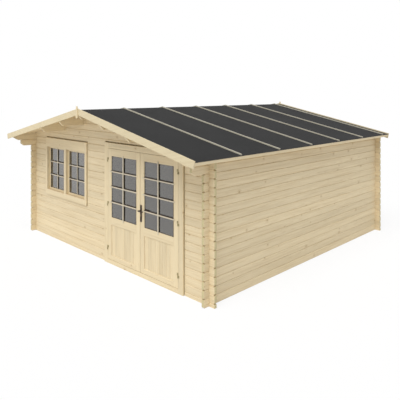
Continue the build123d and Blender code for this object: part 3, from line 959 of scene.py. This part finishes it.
# Door leaves: upright panel boards, and a grille of bars that laps over the frame round the glass
panelSetup = {"boards": 8, "vee": 0.004, "gap": 0.0006, "shade": 0.004}
doorBars = {
    "rows": 4,
    "width": 0.021,
    "cross": 0.017,
    "depth": 0.010,
    "edge": 0.003,
    "lap": 0.034,
    "face": 0.012,
    # dark strip behind each bar and dark rim round the glass: painted shade and reflection
    "shadeStripWidth": 0.017,
    "ledge": 0.013,
    "rimShadeWidths": (0.009, 0.013, 0.003, 0.013),
    "rimShadeDepth": 0.002,
    "lift": 0.001,
}
windowBars = {
    **doorBars,
    "rows": 3,
    "width": 0.014,
    "cross": 0.015,
    "depth": 0.005,
    "edge": 0.002,
    "lap": 0.024,
    "face": 0.007,
    # dark strip behind each bar: painted shade and reflection
    "shadeStripWidth": 0.015,
    "ledge": 0.015,
    "mullion": 0.070,
}


def makePanel(word, setup):
    low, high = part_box(word + "_leaf_panel")
    pitch = (high.x - low.x) / setup["boards"]
    vee = setup["vee"]
    half = (pitch - setup["gap"]) / 2
    thickness = high.y - low.y
    front = [(half, vee), (half - vee, 0), (-half + vee, 0), (-half, vee)]
    outline = front + [(u, thickness - v) for u, v in reversed(front)]
    panel = newShape()
    for k in range(setup["boards"]):
        start = Vector((low.x + (k + 0.5) * pitch, low.y, low.z))
        addBar(panel, start, start + up * (high.z - low.z), right, -out, outline)
    wood = boardMaterial(
        word + "PanelWood", planedWood, 2, 0, pitch=pitch, start=low.x, edgeWidth=setup["shade"]
    )
    makePiece(word + "PanelBoards", panel, wood, word + "_leaf", [word + "_leaf_panel"])


def addGrille(bars, shadeStrips, low, high, faces, setup):
    # On both sides of the glass: one upright and a cross bar between rows, on dark strips that stand up
    # behind the cross bars, and a dark rim
    # round the glass: painted reflection and shade of the bars' shaded backs, and painted shade of the
    # reveals
    middle = (low.x + high.x) / 2
    uprightBar = boardOutline(setup["width"], setup["depth"], setup["edge"])
    crossBar = boardOutline(setup["cross"], setup["depth"], setup["edge"])
    lines = [(Vector((middle, 0, low.z)), Vector((middle, 0, high.z)), right, up, uprightBar, 0, 0)]
    for k in range(1, setup["rows"]):
        height = low.z + (high.z - low.z) * k / setup["rows"]
        start, end = Vector((low.x, 0, height)), Vector((high.x, 0, height))
        lines.append((start, end, up, right, crossBar, setup["lift"], setup["ledge"]))
    places = ((low.x, low.z), (high.x, low.z), (high.x, high.z), (low.x, high.z))
    for glass, face, outward in ((low.y, faces[0], out), (high.y, faces[1], -out)):
        barBase = face + outward.y * (setup["face"] - setup["depth"])
        strip = boardOutline(setup["shadeStripWidth"], abs(barBase - glass), 0)
        for start, end, across, along, outline, lift, ledge in lines:
            lap = along * setup["lap"]
            shift = Vector((0, barBase, 0)) + outward * lift
            addBar(bars, start - lap + shift, end + lap + shift, across, outward, outline)
            shift = Vector((0, glass, 0)) + across * ledge
            # Dark strip behind the bar, raised beside it: painted shade and reflection of the bar's
            # shaded back
            addBar(shadeStrips, start + shift, end + shift, across, outward, strip)
        corners = [Vector((x, glass, z)) for x, z in places]
        # A dark rim round the glass: painted shade of the reveals
        depth = setup["rimShadeDepth"]
        for k, (inward, width) in enumerate(zip((up, -right, -up, right), setup["rimShadeWidths"])):
            lip = [(0, 0), (width, 0), (width, depth), (0, depth)]
            addBar(shadeStrips, corners[k], corners[(k + 1) % 4], inward, outward, lip)


barWood = boardMaterial("barWood", barWoodLook, 2, 0, pitch=wholePitch["bar"])


def makeDoorBars(word, setup):
    low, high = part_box(word + "_leaf_glass")
    faces = [corner.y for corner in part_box(word + "_leaf_frame")]
    bars, shadeStrips = newShape(), newShape()
    addGrille(bars, shadeStrips, low, high, faces, setup)
    makePiece(word + "DoorBars", bars, barWood, word + "_leaf")
    # Dark strips and rim: painted shade and reflection
    makePiece(word + "DoorShadeStrips", shadeStrips, shadeStripFinish, word + "_leaf")


def makeWindowBars(setup):
    low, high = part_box("window_glass")
    sashLow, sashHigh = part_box("window_sashes")
    stile = low.x - sashLow.x
    paneWidth = (high.x - low.x - setup["mullion"]) / 2 - stile
    bars, shadeStrips = newShape(), newShape()
    for left in (low.x, high.x - paneWidth):
        paneLow = Vector((left, low.y, low.z))
        paneHigh = Vector((left + paneWidth, high.y, high.z))
        addGrille(bars, shadeStrips, paneLow, paneHigh, (sashLow.y, sashHigh.y), setup)
    makePiece("windowBars", bars, barWood, "cabin")
    # Dark strips and rim: painted shade and reflection
    makePiece("windowShadeStrips", shadeStrips, shadeStripFinish, "cabin")


for word, side in sides:
    makePanel(word, panelSetup)
    makeDoorBars(word, doorBars)
makeWindowBars(windowBars)
print("door leaves and window dressed")


# Lock cylinders below the lever, and the screws of the handle plates
lockSetup = {
    "drop": 0.072,
    "radius": 0.0085,
    "tailWidth": 0.010,
    "length": 0.033,
    "proud": 0.003,
    "sides": 20,
    "tailSides": 6,
    "slot": (0.0014, 0.0080, 0.0002),
    "screwInset": 0.016,
}
screwSetup = {"radius": 0.0034, "rise": 0.0009}


def cylinderOutline(setup):
    # A round barrel with a narrower rounded tail below it
    radius, half = setup["radius"], setup["tailWidth"] / 2
    meet = math.asin(half / radius)
    points = []
    for k in range(setup["sides"] + 1):
        turn = -math.pi / 2 + meet + (2 * math.pi - 2 * meet) * k / setup["sides"]
        points.append((radius * math.cos(turn), radius * math.sin(turn)))
    foot = radius - setup["length"] + half
    for k in range(setup["tailSides"] + 1):
        turn = math.pi + math.pi * k / setup["tailSides"]
        points.append((half * math.cos(turn), foot + half * math.sin(turn)))
    return points


def makeLock(lock, screw):
    low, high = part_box("door_handle_plates")
    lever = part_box("door_lever")
    x = (low.x + high.x) / 2
    leverHeight = (lever[0].z + lever[1].z) / 2
    cylinders, slots, screws = newShape(), newShape(), newShape()
    for face, outward in ((low.y, out), (high.y, -out)):
        centre = Vector((x, face, leverHeight - lock["drop"]))
        outline = cylinderOutline(lock)
        back = [centre + right * u + up * v for u, v in outline]
        addLoft(cylinders, back, [point + outward * lock["proud"] for point in back])
        # The key slot: a thin dark strip on the cylinder, painted shade of the keyway
        width, length, proud = lock["slot"]
        slotStart = centre + outward * lock["proud"] - up * length / 2
        addBar(slots, slotStart, slotStart + up * length, right, outward, boardOutline(width, proud, 0))
        for height in (low.z + lock["screwInset"], high.z - lock["screwInset"]):
            addHead(screws, Vector((x, face, height)), outward, screw["radius"], screw["rise"])
    makePiece("lockCylinders", cylinders, hingeFinish, "right_leaf")
    makePiece("keySlots", slots, shadeStripFinish, "right_leaf")
    makePiece("plateScrews", screws, handleFinish, "right_leaf")


makeLock(lockSetup, screwSetup)


# Two screws in each wing of the hinges
hingeSetup = {
    "reach": 0.017,
    "wing": 0.002,
    "spread": 0.010,
    "knuckle": 0.036,
    "pin": 0.022,
    "count": 3,
}
hingeAxes = {joint["name"]: joint["pos_m"][0] for joint in frame["joints"]}


def makeHingeScrews(name, node, body, places, pin, screw, setup):
    # The wings of a node are as tall as its knuckles and evenly spaced; a pin may stand over the top one
    low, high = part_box(node)
    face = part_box("door_jamb_left")[0].y - setup["wing"]
    first = low.z + setup["knuckle"] / 2
    last = high.z - pin - setup["knuckle"] / 2
    screws = newShape()
    for k in range(setup["count"]):
        height = first + (last - first) * k / (setup["count"] - 1)
        for x in places:
            for lift in (-setup["spread"], setup["spread"]):
                addHead(screws, Vector((x, face, height + lift)), out, screw["radius"], screw["rise"])
    makePiece(name, screws, hingeFinish, body)


leftAxis, rightAxis = hingeAxes["left_leaf_hinge"], hingeAxes["right_leaf_hinge"]
wingReach = hingeSetup["reach"]
for name, node, body, places, pin in (
    (
        "frameScrews", "frame_hinges", "cabin",
        (leftAxis - wingReach, rightAxis + wingReach), hingeSetup["pin"],
    ),
    ("leftLeafScrews", "left_leaf_hinges", "left_leaf", (leftAxis + wingReach,), 0),
    ("rightLeafScrews", "right_leaf_hinges", "right_leaf", (rightAxis - wingReach,), 0),
):
    makeHingeScrews(name, node, body, places, pin, screwSetup, hingeSetup)
print("door furniture dressed")


# Nails: pairs through the barge boards into purlins and eave logs, along the eave boards and battens,
# and through the finial boards
nailSetup = {
    "radius": 0.0040,
    "rise": 0.0009,
    "bargePlaces": (0.060, 0.640, 1.330, 1.940, 2.553),
    "bargeHeights": (-0.042, 0.018),
    "eaveSpacing": 0.57,
    "eaveDepth": 0.020,
    "eaveBoard": 0.018,
    "battenSpacing": 0.45,
    "battenWidth": 0.022,
    "finialInset": (0.070, 0.130),
}


def makeNails(setup):
    radius, rise = setup["radius"], setup["rise"]
    trimNails, battenNails = newShape(), newShape()
    bargeFaces = ((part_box("front_barge_left")[0].y, out), (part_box("rear_barge_left")[1].y, -out))
    for face, outward in bargeFaces:
        for x in setup["bargePlaces"]:
            for side in (-1, 1):
                for height in setup["bargeHeights"]:
                    addHead(trimNails, onRoof(side * x, face, height), outward, radius, rise)
    low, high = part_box("finials")
    for face, outward in ((low.y, out), (high.y, -out)):
        for inset in setup["finialInset"]:
            addHead(trimNails, Vector((0, face, low.z + inset)), outward, radius, rise)
    low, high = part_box("eave_boards")
    count = int((high.y - low.y) / setup["eaveSpacing"])
    for side in (-1, 1):
        outward = Vector((side * roof["cosine"], 0, -roof["sine"]))
        for k in range(count + 1):
            y = low.y + (high.y - low.y) * (k + 0.5) / (count + 1)
            face = onRoof(side * roof["eave"], y, roof["boards"] - setup["eaveDepth"])
            addHead(trimNails, face + outward * setup["eaveBoard"], outward, radius, rise)
    low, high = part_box("roof_battens_right")
    top = (high.z - roof["peak"]) * roof["cosine"]
    rows = round((high.y - low.y) / feltLook["strip"]) + 1
    first = low.y + setup["battenWidth"] / 2
    last = high.y - setup["battenWidth"] / 2
    for side in (-1, 1):
        upward = Vector((side * roof["sine"], 0, roof["cosine"]))
        for k in range(rows):
            y = first + (last - first) * k / (rows - 1)
            for step in range(int(roof["eave"] / setup["battenSpacing"])):
                x = side * (step + 0.5) * setup["battenSpacing"]
                addHead(battenNails, onRoof(x, y, top), upward, radius, rise)
    makePiece("trimNails", trimNails, hingeFinish, "cabin")
    makePiece("battenNails", battenNails, hingeFinish, "cabin")


makeNails(nailSetup)
print("nails driven")


# Every CAD node gets its finish
bearerWood = {**roofWood, "light": colour(186, 178, 132), "dark": colour(156, 146, 100)}
bearerRow = {"pitch": 0.6, "start": -0.3}
bearerFinish = boardMaterial("bearerWood", bearerWood, 1, 0, **bearerRow)
finishes = {
    "front_wall_left": crossLogs, "front_wall_right": crossLogs, "rear_wall": crossLogs,
    "front_gable": crossLogs, "rear_gable": crossLogs,
    "ridge_purlin": beamWood, "side_purlins": beamWood, "eave_boards": beamWood,
    "floor_bearers": bearerFinish,
    "finials": uprightWood, "door_head": crossWood, "door_sill": crossWood,
    "window_glass": windowPane, "frame_hinges": hingeFinish,
    "door_handle_plates": handleFinish, "door_lever": handleFinish,
}
for word, side in sides:
    glassLow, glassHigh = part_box(word + "_leaf_glass")
    middle = (glassLow.x + glassHigh.x) / 2
    halfSpan = (glassHigh.x - glassLow.x) / 2
    railMiddle = (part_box(word + "_leaf_panel")[1].z + glassLow.z) / 2
    finishes |= {
        word + "_wall": sideLogs,
        word + "_eave_logs": eaveLogs,
        "door_jamb_" + word: uprightWood,
        "front_barge_" + word: bargeFinish[word],
        "rear_barge_" + word: bargeFinish[word],
        "roof_battens_" + word: battenFinish[word],
        "roof_felt_" + word: feltFinish,
        word + "_leaf_glass": doorPane,
        word + "_leaf_hinges": hingeFinish,
        word + "_leaf_frame": frameMaterial(
            word + "LeafWood", planedWood, 0, middle, halfSpan, 0, railMiddle, middle
        ),
    }
sashLow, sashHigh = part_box("window_sashes")
sashCentre = (sashLow + sashHigh) / 2
sashHalf = (sashHigh.z - sashLow.z) / 2
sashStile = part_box("window_glass")[0].z - sashLow.z
for name, node, halfSpan in (
    ("casingWood", "window_frame", sashHalf),
    ("sashWood", "window_sashes", sashHalf - sashStile),
):
    finishes[node] = frameMaterial(
        name, planedWood, 2, sashCentre.z, halfSpan, 2, sashCentre.x, sashCentre.z
    )

for name, material in finishes.items():
    mesh = nodes[name].data
    mesh.materials.clear()
    mesh.materials.append(material)

# Worn edges on everything but the sheets of glass and felt, and finer ones on the hinges
edgeSetup = {"weld": 0.00005, "bevel": 0.0012, "hingeBevel": 0.0003, "segments": 2, "angle": 30}


def softenEdges(piece, width, setup):
    weld = piece.modifiers.new("join", "WELD")
    weld.merge_threshold = setup["weld"]
    bevel = piece.modifiers.new("softEdge", "BEVEL")
    bevel.width = width
    bevel.segments = setup["segments"]
    bevel.limit_method = "ANGLE"
    bevel.angle_limit = math.radians(setup["angle"])
    bevel.harden_normals = True


for name, material in finishes.items():
    if material not in (doorPane, windowPane, feltFinish):
        width = edgeSetup["hingeBevel" if material == hingeFinish else "bevel"]
        softenEdges(nodes[name], width, edgeSetup)
print("finishes on")
